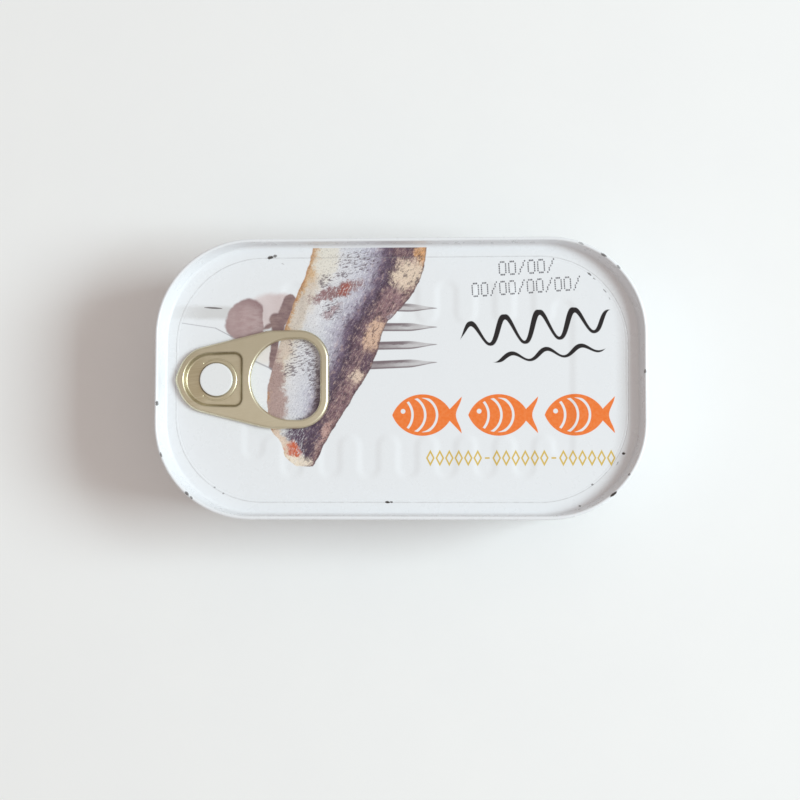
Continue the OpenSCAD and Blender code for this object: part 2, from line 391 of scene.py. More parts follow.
def pull_ring(inset, z):
    """Points of the pull's outline at one inset, with the beak at its nose."""
    x = RIVET_X
    corner = RING_RADIUS - inset
    corner_x = x + PULL_END - RING_RADIUS
    corner_y = PULL_HALF - RING_RADIUS
    nose_x = x - NOSE_BACK
    points = arc_points([
        (corner_x, corner_y, corner, 0, 90, 16),
        (x + RING_FULL, 0, PULL_HALF - inset, 90, 90 + SIDE_ANGLE, 4),
        (nose_x, 0, NOSE_RADIUS - inset, 90 + SIDE_ANGLE, 270 - SIDE_ANGLE, 60),
        (x + RING_FULL, 0, PULL_HALF - inset, 270 - SIDE_ANGLE, 270, 4),
        (corner_x, -corner_y, corner, 270, 360, 16),
    ], z)
    beak = BEAK_OUT * max(0.0, 1 - inset / (1.1 * MM))
    for point in points:
        if point.x < nose_x:
            point.x -= beak * math.exp(-((point.y / BEAK_HALF) ** 2))
    return points


def hole_ring(outset, z):
    """Points of the finger hole's outline, moved out into the metal."""
    right = RIVET_X + PULL_END - EDGE_WIDTH
    half = PULL_HALF - EDGE_WIDTH
    corner = RING_RADIUS - EDGE_WIDTH
    middle = right - HOLE_LENGTH + half
    return arc_points([
        (right - corner, half - corner, corner + outset, 0, 90, 14),
        (middle, 0, half + outset, 90, 270, 44),
        (right - corner, corner - half, corner + outset, 270, 360, 14),
    ], z)


def field_ring(inset, z):
    """Points of the sunk field's outline: it follows the nose and is straight towards the ring."""
    lean = math.radians(FIELD_LEAN)
    nose = NOSE_RADIUS - FIELD_IN
    corner_x = FIELD_RIGHT - FIELD_CORNER
    reach = NOSE_BACK * math.sin(lean) + nose - FIELD_CORNER
    corner_y = (reach + math.sin(lean) * corner_x) / math.cos(lean)
    return arc_points([
        (RIVET_X + corner_x, corner_y, FIELD_CORNER - inset, 0, 90 + FIELD_LEAN, 12),
        (RIVET_X - NOSE_BACK, 0, nose - inset, 90 + FIELD_LEAN, 270 - FIELD_LEAN, 40),
        (RIVET_X + corner_x, -corner_y, FIELD_CORNER - inset, 270 - FIELD_LEAN, 360, 12),
    ], z)


def slit_ring(spread, z):
    """Points of the thin crescent outline of the slit round the rivet's tongue."""
    turn = math.radians(SLIT_TURN)
    end_x = RIVET_X + SLIT_RADIUS * math.cos(turn)
    end_y = SLIT_RADIUS * math.sin(turn)
    return arc_points([
        (RIVET_X, 0, SLIT_RADIUS + spread, -SLIT_TURN, SLIT_TURN, 60),
        (end_x, end_y, spread, SLIT_TURN + 30, SLIT_TURN + 150, 4),
        (RIVET_X, 0, SLIT_RADIUS - spread, SLIT_TURN, -SLIT_TURN, 60),
        (end_x, -end_y, spread, 210 - SLIT_TURN, 330 - SLIT_TURN, 4),
    ], z)


def make_pull(material):
    """The ring pull: rolled edges, finger hole, sunk field and the slit of its tongue."""
    bm = bmesh.new()
    high = PANEL_Z + PULL_THICKNESS
    middle = (PANEL_Z + high) / 2
    rise = (high - PANEL_Z) / 2
    flats = {}
    for name, outline, width in (("edge", pull_ring, EDGE_ROLL), ("hole", hole_ring, HOLE_ROLL)):
        start = first_ring(bm, outline(0, middle))
        for side in (1, -1):
            ring = start
            for across, up in quarter(9):
                ring = grow(bm, ring, outline(width * up, middle + side * rise * across))
            ring = grow(bm, ring, outline(width + 0.05 * MM, middle + side * rise))
            flats[name, side] = ring
    field = first_ring(bm, field_ring(-0.05 * MM, high))
    ring = field
    drop = high - PANEL_Z - FLOOR_Z
    for k in range(0, 13):
        part = k / 12
        ring = grow(bm, ring, field_ring(FIELD_SLOPE * part, high - drop * eased(part)))
    floor = grow(bm, ring, field_ring(FIELD_SLOPE + 0.05 * MM, PANEL_Z + FLOOR_Z))
    fill_between(bm, flats["edge", 1], flats["hole", 1], field)
    fill_between(bm, flats["edge", -1], flats["hole", -1])

    slit = first_ring(bm, slit_ring(2.2 * SLIT_HALF, PANEL_Z + FLOOR_Z))
    ring = slit
    for spread, depth in ((2.0, 0), (1.6, 0.01), (1.2, 0.04), (0.9, 0.1)):
        ring = grow(bm, ring, slit_ring(spread * SLIT_HALF, PANEL_Z + FLOOR_Z - depth * MM))
    fill_between(bm, ring)
    fill_between(bm, floor, slit)
    return finish_piece(bm, "ring_pull_metal", material, "ring_pull")


# ------------------------ node making

def paint(red, green, blue):
    """A shader colour from the 0-255 values of a paint chart."""
    shares = [value / 255 for value in (red, green, blue)]
    return tuple(s / 12.92 if s < 0.04 else ((s + 0.055) / 1.055) ** 2.4 for s in shares) + (1.0,)


def degrees(turn):
    """A rotation about Z, as a Mapping node and a group's Turn input take it."""
    return (0, 0, math.radians(turn))


class Pattern:
    """Adds nodes to one tree and joins them, so that a pattern reads as a formula."""

    def __init__(self, tree):
        self.tree = tree

    def add(self, kind, inputs=(), **settings):
        node = self.tree.nodes.new(kind)
        for name, value in settings.items():
            setattr(node, name, value)
        for name, value in dict(inputs).items():
            self.feed(node.inputs[name], value)
        return node

    def feed(self, socket, value):
        if isinstance(value, bpy.types.NodeSocket):
            self.tree.links.new(value, socket)
        else:
            socket.default_value = value

    def math(self, operation, *values, clamp=False):
        node = self.add("ShaderNodeMath", enumerate(values), operation=operation, use_clamp=clamp)
        return node.outputs[0]

    def total(self, first, *others):
        for other in others:
            first = self.math("ADD", first, other)
        return first

    def less(self, value, other):
        return self.math("SUBTRACT", value, other)

    def size(self, value):
        return self.math("ABSOLUTE", value)

    def scaled(self, value, scale, shift=0.0):
        return self.math("MULTIPLY_ADD", value, scale, shift)

    def both(self, *masks):
        result = masks[0]
        for mask in masks[1:]:
            result = self.math("MULTIPLY", result, mask)
        return result

    def either(self, *masks):
        result = masks[0]
        for mask in masks[1:]:
            result = self.math("MAXIMUM", result, mask)
        return result

    def inverse(self, mask):
        return self.math("SUBTRACT", 1.0, mask)

    def squares(self, x, y):
        return self.math("MULTIPLY_ADD", x, x, self.math("MULTIPLY", y, y))

    def reach(self, x, y):
        """Distance of a point from zero."""
        return self.math("SQRT", self.squares(x, y))

    def fade(self, value, low, high, to_low=0.0, to_high=1.0):
        """A smooth step from one value to another as the input goes from low to high."""
        node = self.add("ShaderNodeMapRange", interpolation_type="SMOOTHSTEP")
        for socket, entry in zip(node.inputs, (value, low, high, to_low, to_high)):
            self.feed(socket, entry)
        return node.outputs[0]

    def inside(self, distance, soft):
        """A mask that is 1 where the distance is below 0, with an edge of the given softness."""
        return self.fade(distance, -soft, soft, 1.0, 0.0)

    def mix(self, factor, low, high):
        node = self.add("ShaderNodeMix", data_type="RGBA")
        self.feed(node.inputs[0], factor)
        self.feed(node.inputs[6], low)
        self.feed(node.inputs[7], high)
        return node.outputs[2]

    def split(self, place):
        return self.add("ShaderNodeSeparateXYZ", {"Vector": place}).outputs

    def mapped(self, place, turn=0.0, size=(1, 1, 1), centre=(0, 0, 0)):
        """Coordinates counted from a centre, turned about Z by degrees and divided by a size."""
        inputs = {"Vector": place, "Location": centre, "Rotation": degrees(turn), "Scale": size}
        return self.add("ShaderNodeMapping", inputs, vector_type="TEXTURE").outputs[0]

    def noise(self, place, scale, detail=3.0, roughness=0.5):
        inputs = {"Vector": place, "Scale": scale, "Detail": detail, "Roughness": roughness}
        return self.add("ShaderNodeTexNoise", inputs).outputs["Fac"]

    def turned(self, x, y, centre=(0, 0), turn=0.0, size=(1, 1)):
        """A point counted from a centre, turned by degrees and divided by a size."""
        c, s = math.cos(math.radians(turn)), math.sin(math.radians(turn))
        along = self.scaled(y, s / size[0], -(centre[0] * c + centre[1] * s) / size[0])
        along = self.math("MULTIPLY_ADD", x, c / size[0], along)
        off = self.scaled(y, c / size[1], (centre[0] * s - centre[1] * c) / size[1])
        off = self.math("MULTIPLY_ADD", x, -s / size[1], off)
        return along, off

    def pushed(self, place, x, y, scale, reach, detail=3.0, roughness=0.6):
        """A point pushed about by a noise."""
        push_x = self.noise(place, scale, detail, roughness)
        push_y = self.noise(self.mapped(place, centre=(31, 17, 5)), scale, detail, roughness)
        x = self.math("ADD", x, self.scaled(push_x, reach, -reach / 2))
        y = self.math("ADD", y, self.scaled(push_y, reach, -reach / 2))
        return x, y

    def spot(self, x, y, centre, size, turn=0.0, soft=0.2, ragged=0.0):
        """A soft-edged ellipse, with its edge broken by a ragged value round zero."""
        along, off = self.turned(x, y, centre, turn, size)
        distance = self.math("ADD", self.squares(along, off), ragged)
        return self.fade(distance, (1 - soft) ** 2, (1 + soft) ** 2, 1.0, 0.0)

    def stroke(self, x, y, start, end, width, taper=0.0, soft=0.06):
        """A straight stroke between two points that narrows towards its ends by a share."""
        centre = ((start[0] + end[0]) / 2, (start[1] + end[1]) / 2)
        half = math.dist(start, end) / 2
        turn = math.degrees(math.atan2(end[1] - start[1], end[0] - start[0]))
        along, off = self.turned(x, y, centre, turn)
        beyond = self.math("MAXIMUM", self.less(self.size(along), half), 0.0)
        distance = self.reach(beyond, off)
        narrow = self.scaled(self.both(along, along), -taper * width / 2 / half ** 2, width / 2)
        return self.inside(self.less(distance, narrow), soft)

    def spots(self, x, y, table):
        """One mask for the spots of a table."""
        return self.either(*(self.spot(x, y, *row) for row in table))

    def strokes(self, x, y, table):
        """One mask for the strokes of a table."""
        return self.either(*(self.stroke(x, y, *row) for row in table))

    def ramp(self, value, stops):
        node = self.add("ShaderNodeValToRGB", {"Fac": value})
        elements = node.color_ramp.elements
        while len(elements) < len(stops):
            elements.new(1.0)
        for element, (position, colour) in zip(elements, stops):
            element.position = position
            element.color = colour
        return node.outputs[0]

    def curve(self, value, points, from_range, to_range):
        """A smooth curve through points, with both axes in millimetres."""
        from_low, from_span = from_range[0], from_range[1] - from_range[0]
        to_low, to_span = to_range[0], to_range[1] - to_range[0]
        share = self.scaled(value, 1 / from_span, -from_low / from_span)
        node = self.add("ShaderNodeFloatCurve", {"Value": share})
        line = node.mapping.curves[0]
        while len(line.points) < len(points):
            line.points.new(0.5, 0.5)
        for dot, (at, result) in zip(line.points, points):
            dot.location = ((at - from_low) / from_span, (result - to_low) / to_span)
        node.mapping.update()
        return self.scaled(node.outputs[0], to_span, to_low)

    def use(self, group, **inputs):
        """A group with its named inputs fed. Underscores stand for spaces in the names."""
        node = self.add("ShaderNodeGroup", node_tree=group)
        for name, value in inputs.items():
            self.feed(node.inputs[name.replace("_", " ")], value)
        return node.outputs

    def flecks(self, place, turn, size, amount, softness):
        """The mask of the group of torn flecks, turned by degrees."""
        return self.use(FLECKS, Place=place, Turn=degrees(turn), Size=size, Amount=amount,
                        Softness=softness)["Mask"]

    def rim_distance(self, x, y, end_in, side_in, radius):
        """Distance in millimetres from an outline set in from the ends and sides of the rim."""
        return self.use(OUTLINE, X=x, Y=y, Half_length=(TIN_LENGTH / 2 - end_in) / MM,
                        Half_width=(TIN_WIDTH / 2 - side_in) / MM, Radius=radius / MM)["Distance"]


def new_group(name, inputs, outputs):
    """A shader group with float sockets, or vector sockets where the default is a triple."""
    group = bpy.data.node_groups.new(name, "ShaderNodeTree")
    for label, value in inputs.items():
        kind = "NodeSocketVector" if isinstance(value, tuple) else "NodeSocketFloat"
        group.interface.new_socket(name=label, in_out="INPUT", socket_type=kind).default_value = value
    for label in outputs:
        group.interface.new_socket(name=label, in_out="OUTPUT", socket_type="NodeSocketFloat")
    p = Pattern(group)
    return group, p, p.add("NodeGroupInput").outputs, p.add("NodeGroupOutput").inputs


def make_fleck_group():
    """Torn flecks from a stretched noise, more of them where the amount is higher."""
    group, p, given, result = new_group("flecks", {
        "Place": (0, 0, 0), "Turn": (0, 0, 0), "Size": (1, 1, 1), "Amount": 0.5,
        "Softness": 0.05}, ["Mask"])
    inputs = {"Vector": given["Place"], "Rotation": given["Turn"], "Scale": given["Size"]}
    local = p.add("ShaderNodeMapping", inputs, vector_type="TEXTURE").outputs[0]
    value = p.noise(local, 1.0, 4.0, 0.6)
    level = p.scaled(given["Amount"], -0.24, 0.74)
    low = p.less(level, given["Softness"])
    high = p.math("ADD", level, given["Softness"])
    p.feed(result["Mask"], p.fade(value, low, high))
    return group


def make_wave_group():
    """A brushed wave line whose width swells and thins along it."""
    group, p, given, result = new_group("brushed wave", {
        "Along": 0.0, "Off": 0.0, "Half length": 10.0, "Height": 2.0, "Wavelength": 10.0, "Phase": 0.0,
        "Half width": 0.3}, ["Mask"])
    share = p.math("DIVIDE", given["Along"], given["Half length"])
    turn = p.math("DIVIDE", given["Along"], given["Wavelength"])
    angle = p.math("ADD", p.scaled(turn, math.tau), given["Phase"])
    height = p.both(given["Height"], p.scaled(p.both(share, share), -0.45, 1.0))
    off = p.size(p.less(given["Off"], p.both(height, p.math("SINE", angle))))
    steep = p.both(p.math("COSINE", angle), p.math("DIVIDE", height, given["Wavelength"]))
    distance = p.math("DIVIDE", off, p.reach(p.scaled(steep, math.tau), 1.0))
    swell = p.scaled(p.math("SINE", p.math("ADD", angle, 0.8)), 0.35, 1.0)
    ends = p.fade(p.size(share), 0.75, 1.0, 1.0, -0.4)
    p.feed(result["Mask"], p.inside(p.less(distance, p.both(given["Half width"], swell, ends)), 0.08))
    return group


def make_outline_group():
    """Distance in millimetres from a round-cornered outline, negative inside it."""
    group, p, given, result = new_group("outline distance", {
        "X": 0.0, "Y": 0.0, "Half length": 50.0, "Half width": 28.0, "Radius": 20.0}, ["Distance"])
    radius = given["Radius"]
    over_x = p.less(p.size(given["X"]), p.less(given["Half length"], radius))
    over_y = p.less(p.size(given["Y"]), p.less(given["Half width"], radius))
    deep = p.math("MINIMUM", p.math("MAXIMUM", over_x, over_y), 0.0)
    corner = p.reach(p.math("MAXIMUM", over_x, 0.0), p.math("MAXIMUM", over_y, 0.0))
    p.feed(result["Distance"], p.less(p.math("ADD", corner, deep), radius))
    return group


def make_enamel_group():
    """Baked enamel: a faint mottle of its shade, a rougher film in places and a fine orange peel."""
    group, p, given, result = new_group("baked enamel", {"Place": (0, 0, 0), "Grime": 0.3},
                                        ["Shade", "Roughness", "Height"])
    cloud = p.noise(given["Place"], 0.06)
    film = p.noise(given["Place"], 0.35, 4.0, 0.6)
    peel = p.noise(given["Place"], 1.8, 2.0)
    haze = p.both(given["Grime"], p.fade(film, 0.45, 0.75))
    p.feed(result["Shade"], p.total(p.scaled(cloud, 0.1, 0.45), p.scaled(haze, -0.6)))
    p.feed(result["Roughness"], p.total(0.24, p.scaled(film, 0.08), p.scaled(haze, 0.12)))
    p.feed(result["Height"], p.total(p.scaled(peel, 0.6), p.scaled(cloud, 0.4)))
    return group


def make_rolled_group():
    """Satin rolled metal: long fine lines, soft blotches of lacquer and their roughness."""
    group, p, given, result = new_group("rolled metal", {"Place": (0, 0, 0), "Turn": (0, 0, 0)},
                                        ["Lines", "Blotch", "Roughness", "Height"])
    inputs = {"Vector": given["Place"], "Rotation": given["Turn"], "Scale": (9.0, 0.2, 1.0)}
    local = p.add("ShaderNodeMapping", inputs, vector_type="TEXTURE").outputs[0]
    lines = p.noise(local, 1.0, 3.0, 0.6)
    blotch = p.noise(given["Place"], 0.28, 4.0, 0.6)
    grain = p.noise(given["Place"], 5.0, 2.0, 0.6)
    p.feed(result["Lines"], p.fade(lines, 0.3, 0.7))
    p.feed(result["Blotch"], p.fade(blotch, 0.35, 0.7))
    p.feed(result["Roughness"], p.total(0.33, p.scaled(blotch, 0.1), p.scaled(lines, 0.06)))
    p.feed(result["Height"], p.total(p.scaled(lines, 0.6), p.scaled(grain, 0.4)))
    return group


WAVE = make_wave_group()
FLECKS = make_fleck_group()
OUTLINE = make_outline_group()
ENAMEL = make_enamel_group()
ROLLED = make_rolled_group()


def new_material(name):
    """A material with its Principled shader, and its place in millimetres on the object."""
    material = bpy.data.materials.new(name)
    material.use_nodes = True
    shader = material.node_tree.nodes["Principled BSDF"]
    p = Pattern(material.node_tree)
    own = p.add("ShaderNodeTexCoord").outputs["Object"]
    place = p.add("ShaderNodeMapping", {"Vector": own, "Scale": (1 / MM, 1 / MM, 1 / MM)}).outputs[0]
    return material, shader, p, place


def bump(p, shader, height, strength):
    """Feeds a fine relief to the shader's normal."""
    inputs = {"Height": height, "Strength": strength, "Distance": BUMP_DEPTH}
    p.feed(shader.inputs["Normal"], p.add("ShaderNodeBump", inputs).outputs["Normal"])


# ------------------------ the print on the lid

FISH_ALONG = (-20, 30)
FISH_SIDEWAYS = (-30, 10)
CUT_END = -18.5
FISH_LEFT = [(-20, -19.5), (-18.4, -22.1), (-16.5, -24.4), (-13.5, -25.4), (-11.0, -27.4), (-7.5, -28.2),
             (-2.0, -28.4), (3.0, -27.2), (9.0, -25.5), (13.0, -24.1), (18.2, -22.2), (23.0, -20.2),
             (30, -18.6)]
FISH_RIGHT = [(-20, -20.5), (-18.6, -18.6), (-13.0, -15.6), (-3.0, -9.5), (3.0, -6.0), (7.0, -4.5),
              (11.0, -3.4), (15.0, 0.0), (19.0, 3.1), (24.5, 5.2), (30, 5.6)]
FISH_ACROSS = [
    (0.00, paint(182, 132, 92)), (0.05, paint(216, 184, 146)), (0.13, paint(222, 212, 200)),
    (0.22, paint(224, 223, 226)), (0.42, paint(210, 211, 221)), (0.55, paint(178, 173, 190)),
    (0.63, paint(116, 100, 122)), (0.72, paint(76, 58, 78)), (0.79, paint(112, 86, 98)),
    (0.92, paint(150, 120, 118)), (1.00, paint(98, 70, 76))]
FISH_FIELDS = [
    # centre, half length and half width, turn, softness, colour
    ((-15.6, 25.6), (4.2, 2.3), 78, 0.5, paint(229, 224, 214)),
    ((-21.2, 15.0), (5.4, 1.3), 68, 0.4, paint(214, 203, 192)),
    ((-26.6, 0.5), (8.5, 1.6), 88, 0.4, paint(172, 146, 141)),
    ((-24.6, 7.0), (3.0, 1.2), 70, 0.5, paint(214, 198, 184)),
    ((-26.2, -5.5), (3.4, 1.9), 85, 0.5, paint(178, 152, 147)),
    ((-13.6, 18.8), (5.4, 1.25), 18, 0.35, paint(146, 112, 114)),
    ((-11.9, 19.3), (1.6, 0.9), 24, 0.5, paint(160, 92, 82)),
    ((-14.8, 14.5), (2.0, 0.8), 30, 0.6, paint(172, 150, 156)),
    ((1.5, 27.3), (3.4, 1.9), 0, 0.4, paint(112, 84, 94)),
    ((4.6, 26.6), (1.3, 2.2), 0, 0.6, paint(222, 166, 112)),
    ((0.4, 24.6), (1.0, 2.2), -20, 0.5, paint(120, 92, 98)),
    ((1.4, 22.2), (3.5, 2.7), 40, 0.35, paint(232, 211, 190)),
    ((-2.0, 16.2), (3.1, 2.3), 55, 0.4, paint(142, 110, 116)),
    ((-1.6, 12.6), (1.8, 0.9), 60, 0.5, paint(176, 162, 170)),
    ((-5.8, 9.4), (3.4, 1.75), 66, 0.3, paint(218, 182, 158)),
    ((-7.0, 3.6), (2.2, 1.5), 64, 0.4, paint(98, 74, 90)),
    ((-9.3, 0.5), (1.7, 1.2), 60, 0.3, paint(228, 204, 186)),
    ((-12.2, -4.6), (4.0, 1.5), 60, 0.4, paint(128, 98, 106)),
    ((-16.2, -11.4), (2.4, 0.9), 62, 0.4, paint(190, 152, 146)),
    ((-20.6, -11.6), (3.6, 2.6), 15, 0.35, paint(88, 70, 92)),
    ((-19.6, -14.6), (2.0, 1.3), 50, 0.4, paint(78, 60, 80)),
    ((-25.6, -12.7), (2.5, 1.2), -42, 0.35, paint(226, 204, 186)),
    ((-21.6, -17.3), (3.0, 1.5), -22, 0.3, paint(240, 226, 208)),
    ((-22.6, -14.9), (1.3, 1.0), -50, 0.6, paint(204, 98, 62)),
]
FLECK_FIELDS = [
    # centre, half sizes, turn, strength
    ((-9.0, 25.2), (4.6, 2.4), 0, 0.85),
    ((-16.2, 21.0), (1.7, 1.5), 30, 1.0),
    ((-12.3, 22.4), (2.2, 0.7), 12, 1.0),
    ((-14.6, 14.8), (2.4, 2.2), 40, 0.85),
    ((-21.4, 5.6), (2.4, 4.4), 10, 0.8),
    ((-18.2, 0.5), (1.6, 8.0), 12, 1.0),
    ((-23.4, 2.0), (1.6, 1.6), 0, 1.0),
    ((-10.5, 13.0), (2.0, 4.5), -28, 0.55),
]
FORK_GLOW = [((-28.0, 14.8), (4.6, 3.6), 5, 0.2), ((-26.0, 15.4), (4.4, 2.9), 8, 0.2)]
FORK_BOWL = [((-33.2, 13.4), (4.4, 3.5), 38, 0.08), ((-34.4, 11.6), (3.2, 2.9), -20, 0.1),
             ((-31.8, 11.4), (2.9, 3.0), 0, 0.1)]
FORK_STRIP = [
    # start, end, width, taper, softness
    ((-23.6, 17.0), (-25.5, 12.6), 2.6, 0.0, 0.2),
    ((-26.5, 12.8), (-26.2, 11.2), 3.0, 0.0, 0.3),
    ((-26.4, 11.6), (-27.3, 2.8), 1.6, 0.0, 0.2),
    ((-29.4, 11.0), (-26.4, 12.2), 1.0, 0.6, 0.3),
]
FORK_LINES = [
    # start, end, width, taper, softness
    ((-46.8, 12.2), (-39.6, 11.1), 0.14, 0.0, 0.1),
    ((-39.6, 11.1), (-36.0, 9.2), 0.2, 0.0, 0.1),
    ((-31.6, 4.2), (-27.2, 2.2), 0.3, 0.0, 0.12),
]
TINE_LEVELS = (15.1, 11.1, 7.4, 3.6)
TINE_ROOT = -8.0
TINE_TIP = 7.8
FORK_DARK = paint(118, 104, 110)
FORK_MAUVE = paint(168, 142, 143)


def fish_print(p, flat, x, y, under):
    """A fillet of fish: edge strip, silver flank, dark band, flaky side and cut end."""
    near_x, near_y = p.pushed(flat, x, y, 0.45, 0.8, 4.0)
    torn_x, torn_y = p.pushed(flat, x, y, 0.42, 4.6, 6.0, 0.72)
    left = p.curve(near_y, FISH_LEFT, FISH_ALONG, FISH_SIDEWAYS)
    right = p.curve(near_y, FISH_RIGHT, FISH_ALONG, FISH_SIDEWAYS)
    inner = p.math("MINIMUM", p.less(near_x, left), p.less(right, near_x))
    inner = p.math("MINIMUM", inner, p.math("ADD", near_y, -CUT_END))
    width = p.math("MAXIMUM", p.less(right, left), 1.0)
    across = p.math("DIVIDE", p.less(torn_x, left), width, clamp=True)
    colour = p.ramp(across, FISH_ACROSS)
    ragged = p.scaled(p.noise(flat, 1.4, 5.0, 0.75), 4.0, -2.0)
    for centre, size, turn, soft, shade in FISH_FIELDS:
        colour = p.mix(p.spot(torn_x, torn_y, centre, size, turn, soft, ragged), colour, shade)
    mottle = p.noise(p.mapped(flat, turn=58, size=(1.7, 0.8, 1)), 1.0, 6.0, 0.75)
    depth = p.fade(across, 0.4, 0.72, 0.12, 0.8)
    colour = p.mix(p.both(p.fade(mottle, 0.5, 0.62), depth), colour, paint(64, 46, 60))
    colour = p.mix(p.both(p.fade(mottle, 0.36, 0.48, 0.6, 0.0), depth), colour, paint(212, 184, 172))

    amount = 0.0
    for centre, size, turn, strength in FLECK_FIELDS:
        amount = p.math("MAXIMUM", amount, p.scaled(p.spot(x, y, centre, size, turn, 0.6), strength))
    flecks = p.flecks(flat, 16, (1.0, 0.34, 1), amount, 0.05)
    colour = p.mix(p.both(p.scaled(flecks, 0.75), p.fade(amount, 0.0, 0.3)), colour, paint(88, 70, 82))
    flank = p.both(p.fade(across, 0.14, 0.3), p.fade(across, 0.5, 0.66, 1.0, 0.0))
    meat = p.fade(across, 0.66, 0.8)
    scales = p.flecks(flat, 62, (0.9, 0.3, 1), 0.62, 0.1)
    colour = p.mix(p.both(scales, flank, 0.75), colour, paint(238, 238, 242))
    strands = p.flecks(flat, 58, (1.3, 0.22, 1), 0.5, 0.12)
    colour = p.mix(p.both(strands, meat, 0.5), colour, paint(232, 206, 190))
    seams = p.flecks(flat, 40, (0.8, 0.35, 1), 0.45, 0.06)
    colour = p.mix(p.both(seams, meat, 0.5), colour, paint(84, 58, 66))
    grain = p.noise(flat, 3.2, 3.0, 0.7)
    colour = p.mix(p.fade(grain, 0.32, 0.5, 0.34, 0.0), colour, paint(74, 56, 70))
    colour = p.mix(p.fade(grain, 0.54, 0.74, 0.0, 0.3), colour, paint(240, 236, 240))
    rim_line = p.fade(inner, 0.05, 0.55, 0.55, 0.0)
    colour = p.mix(p.both(rim_line, p.fade(across, 0.4, 0.6)), colour, paint(82, 58, 64))
    return p.mix(p.fade(inner, -0.05, 0.2), under, colour)


def fork_print(p, flat, x, y, under):
    """A fork behind the fillet: pale handle, shaded bowl and four pointed tines."""
    shade = p.noise(p.mapped(flat, size=(2.2, 0.8, 1)), 1.0, 4.0, 0.6)
    soft_x, soft_y = p.pushed(flat, x, y, 0.5, 0.8)
    handle = p.stroke(soft_x, soft_y, (-49.0, 14.6), (-34.0, 14.2), 2.7, soft=0.6)
    handle = p.both(handle, p.fade(x, -50.5, -41.0, 0.15, 0.6))
    colour = p.mix(handle, under, paint(196, 194, 193))
    lit = p.mix(p.fade(soft_x, -31.0, -24.0), paint(219, 207, 208), paint(206, 190, 190))
    colour = p.mix(p.spots(soft_x, soft_y, FORK_GLOW), colour, lit)
    patch = p.spot(soft_x, soft_y, (-28.8, 6.4), (2.6, 3.0), 0, 0.35)
    colour = p.mix(p.scaled(patch, 0.7), colour, paint(228, 220, 215))
    bowl = p.both(p.spots(soft_x, soft_y, FORK_BOWL), p.fade(soft_x, -29.6, -29.2, 1.0, 0.0))
    tone = p.mix(p.fade(shade, 0.3, 0.7), FORK_MAUVE, paint(180, 158, 158))
    rounding = p.spot(soft_x, soft_y, (-33.6, 12.4), (3.8, 3.4), 0, 0.5)
    crescent = p.both(p.fade(soft_x, -33.5, -30.0, 0.0, 0.5), p.fade(shade, 0.35, 0.6))
    tone = p.mix(crescent, tone, paint(196, 178, 178))
    colour = p.mix(bowl, colour, p.mix(rounding, paint(150, 124, 126), tone))
    tone = p.mix(p.fade(shade, 0.3, 0.7), paint(124, 100, 102), paint(150, 126, 124))
    colour = p.mix(p.strokes(soft_x, soft_y, FORK_STRIP), colour, tone)
    line = p.strokes(x, y, FORK_LINES)
    colour = p.mix(p.scaled(line, 0.7), colour, paint(150, 148, 156))
    dash = p.stroke(x, y, (-42.0, 15.55), (-38.2, 15.3), 0.36, 0.7)
    colour = p.mix(p.scaled(dash, 0.9), colour, paint(92, 84, 86))
    for level in TINE_LEVELS:
        tilt = (10.5 - level) * 0.006
        off = p.less(y, p.scaled(x, tilt, level - tilt * TINE_TIP))
        half = p.fade(x, 1.5, TINE_TIP + 0.4, 0.86, 0.06)
        body = p.inside(p.less(p.size(off), half), 0.1)
        body = p.both(body, p.fade(x, TINE_ROOT, TINE_ROOT + 0.5),
                      p.fade(x, TINE_TIP - 0.3, TINE_TIP + 0.2, 1.0, 0.0))
        tone = p.math("ADD", p.fade(x, -4.5, 2.0, 0.2, 0.8), p.scaled(shade, 0.8, -0.4), clamp=True)
        fill = p.mix(tone, paint(140, 128, 132), paint(212, 211, 214))
        share = p.math("DIVIDE", off, half)
        blot = p.fade(p.math("ADD", share, p.scaled(shade, 1.6, -0.8)), 0.0, 0.5)
        fill = p.mix(p.both(blot, p.fade(x, 0.0, 4.6, 0.9, 0.0)), fill, FORK_DARK)
        fill = p.mix(p.fade(share, -0.85, -0.4, 0.9, 0.0), fill, FORK_DARK)
        fill = p.mix(p.fade(x, 5.4, 7.4, 0.0, 0.7), fill, FORK_DARK)
        colour = p.mix(body, colour, fill)
    return colour


WAVE_LENGTH = 7.4
WAVES = [
    # centre, turn, half length, height, phase, half width
    ((28.6, 11.0), 6, 17.6, 3.0, 0.6, 0.46),
    ((31.5, 5.4), 6, 13.0, 1.0, 2.0, 0.36),
]


def wave_print(p, flat, x, y, under):
    """Two brushed black wave lines that rise to the right."""
    lines = []
    for centre, turn, half, height, phase, width in WAVES:
        along, off = p.turned(x, y, centre, turn)
        lines.append(p.use(WAVE, Along=along, Off=off, Half_length=half, Height=height,
                           Wavelength=WAVE_LENGTH, Phase=phase, Half_width=width)["Mask"])
    return p.mix(p.either(*lines), under, paint(22, 20, 24))


